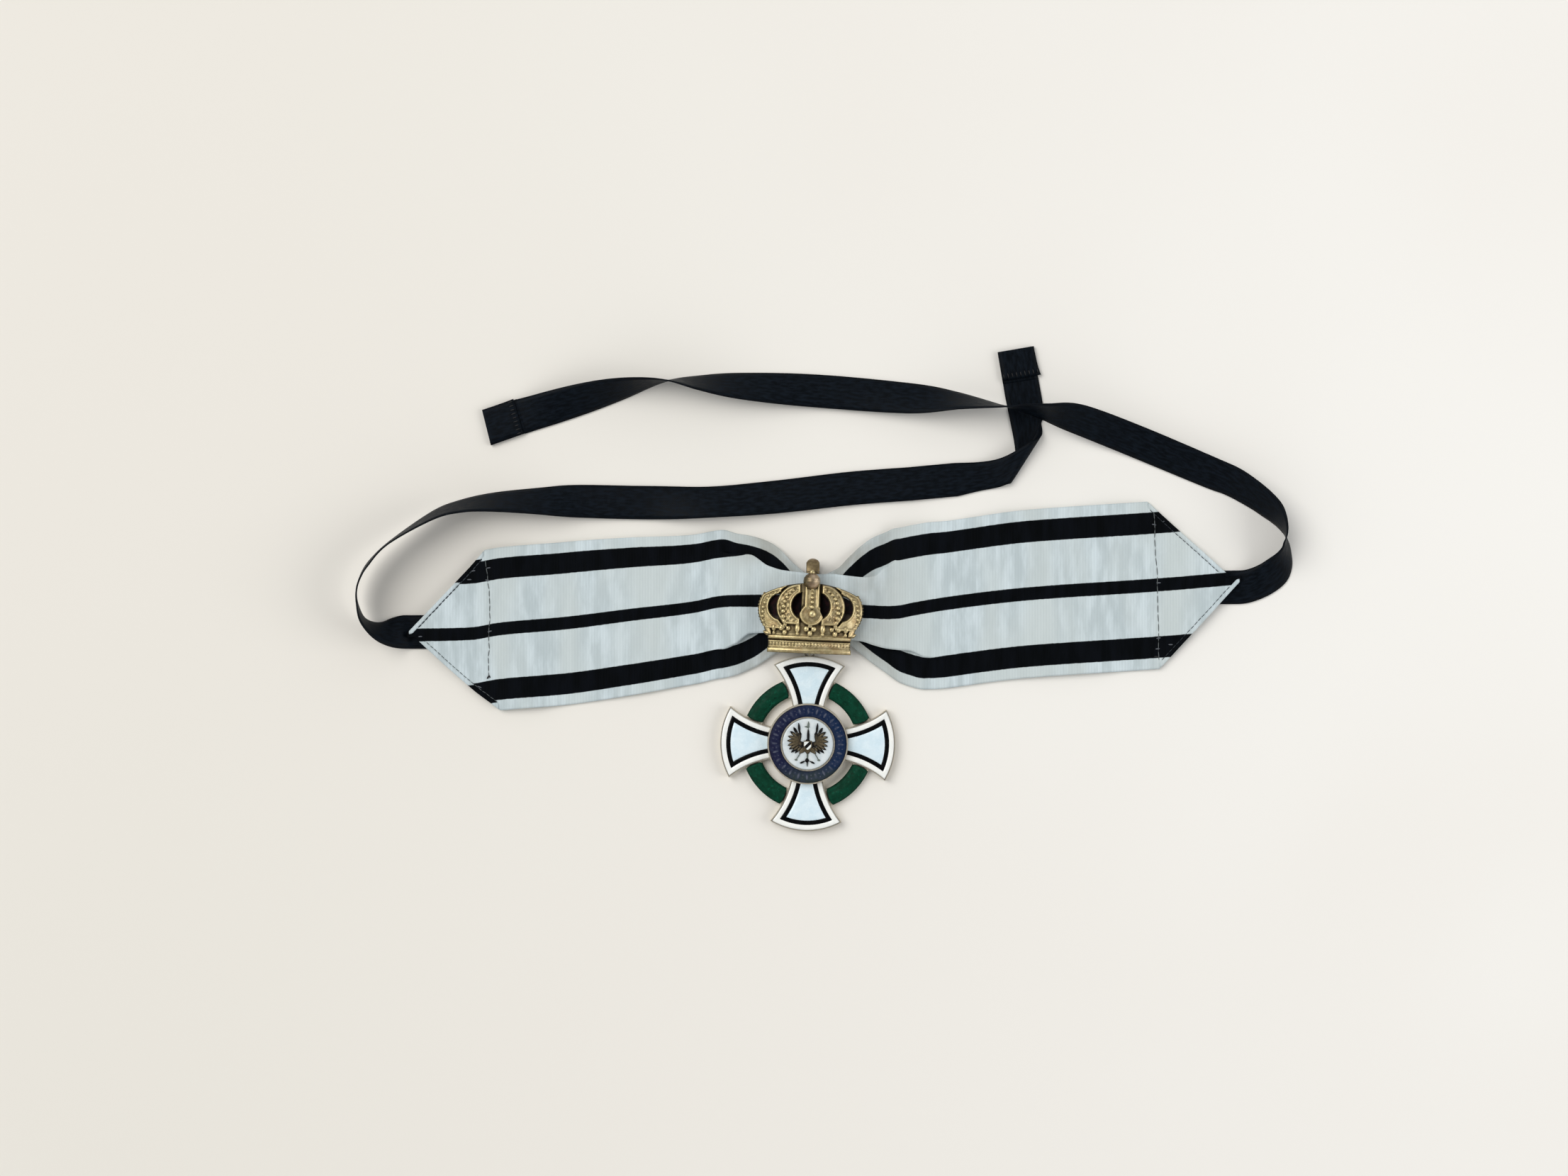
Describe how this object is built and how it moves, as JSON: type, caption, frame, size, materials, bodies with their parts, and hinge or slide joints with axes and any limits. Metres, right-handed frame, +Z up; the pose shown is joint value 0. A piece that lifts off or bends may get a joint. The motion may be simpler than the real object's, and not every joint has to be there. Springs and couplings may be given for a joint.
{
  "type": "neck order badge",
  "caption": "Enamelled cross with a leaf wreath and a crown, hung from a gathered striped neck ribbon with two tie tapes, lying flat.",
  "frame": {"origin": "centre of the cross's flat back, on the surface it lies on", "axes": "+X along the ribbon to its right end seen from above, +Y from the cross towards the crown, +Z up towards the viewer"},
  "size_m": [0.2884, 0.1498, 0.0129],
  "materials": {
    "gilt_metal": "satin",
    "white_enamel": "gloss",
    "black_enamel": "gloss",
    "green_enamel": "gloss",
    "blue_enamel": "gloss",
    "dark_gilt": "satin",
    "crown_gilt": "satin",
    "dark_lining": "matte",
    "ribbon_silk": "satin",
    "tape_satin": "satin"
  },
  "bodies": {
    "root": {"cross_frame": "gilt_metal", "border_up": "white_enamel", "border_left": "white_enamel", "border_down": "white_enamel", "border_right": "white_enamel", "band_up": "black_enamel", "band_left": "black_enamel", "band_down": "black_enamel", "band_right": "black_enamel", "field_up": "white_enamel", "field_left": "white_enamel", "field_down": "white_enamel", "field_right": "white_enamel", "wreath_up_left": "green_enamel", "wreath_down_left": "green_enamel", "wreath_down_right": "green_enamel", "wreath_up_right": "green_enamel", "centre_cup": "gilt_metal", "motto_ring": "blue_enamel", "centre_disc": "white_enamel", "eagle": "dark_gilt", "crown": "crown_gilt", "crown_lining": "dark_lining", "crown_loop": "crown_gilt", "link": "gilt_metal", "ribbon": "ribbon_silk", "tape_left": "tape_satin", "tape_right": "tape_satin"}
  },
  "joints": []
}
